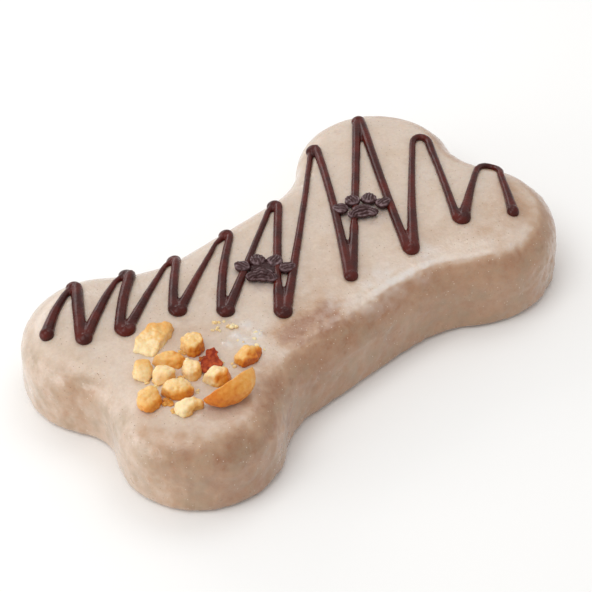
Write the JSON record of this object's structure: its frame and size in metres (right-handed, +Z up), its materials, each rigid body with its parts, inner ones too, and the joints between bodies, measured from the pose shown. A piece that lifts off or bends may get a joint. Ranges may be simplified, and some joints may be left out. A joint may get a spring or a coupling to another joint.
{
  "type": "bone-shaped dog cake",
  "caption": "Glazed bone-shaped cake for a dog, with a dark piped zigzag and paw prints and a heap of chopped peanuts on one lobe.",
  "frame": {"origin": "on the flat underside, below the middle of the bone's box", "axes": "+X along the bone, towards the end that has no nuts; +Y across it, towards the zigzag's far turns; +Z up, out of the iced top"},
  "size_m": [0.1409, 0.0801, 0.0282],
  "materials": {
    "glaze": "stands for a pale yoghurt-coloured glaze over cake, semi-gloss",
    "icing": "stands for dark brown icing, set, with a soft gloss; the piped zigzag and the paw prints, one solid with the cake",
    "pale_nut": "stands for the cut inside of a roasted peanut",
    "gold_nut": "stands for the roasted outside of a peanut",
    "brown_nut": "stands for a dark roasted peanut half, slightly oily",
    "skin": "stands for red peanut skin"
  },
  "bodies": {
    "root": {"cake": "glaze", "peanut_01": "pale_nut", "peanut_02": "gold_nut", "peanut_03": "pale_nut", "peanut_04": "gold_nut", "peanut_05": "pale_nut", "peanut_06": "pale_nut", "peanut_07": "pale_nut", "peanut_08": "gold_nut", "peanut_09": "gold_nut", "peanut_10": "gold_nut", "peanut_11": "pale_nut", "half_peanut": "brown_nut", "peanut_skin": "skin"}
  },
  "joints": []
}
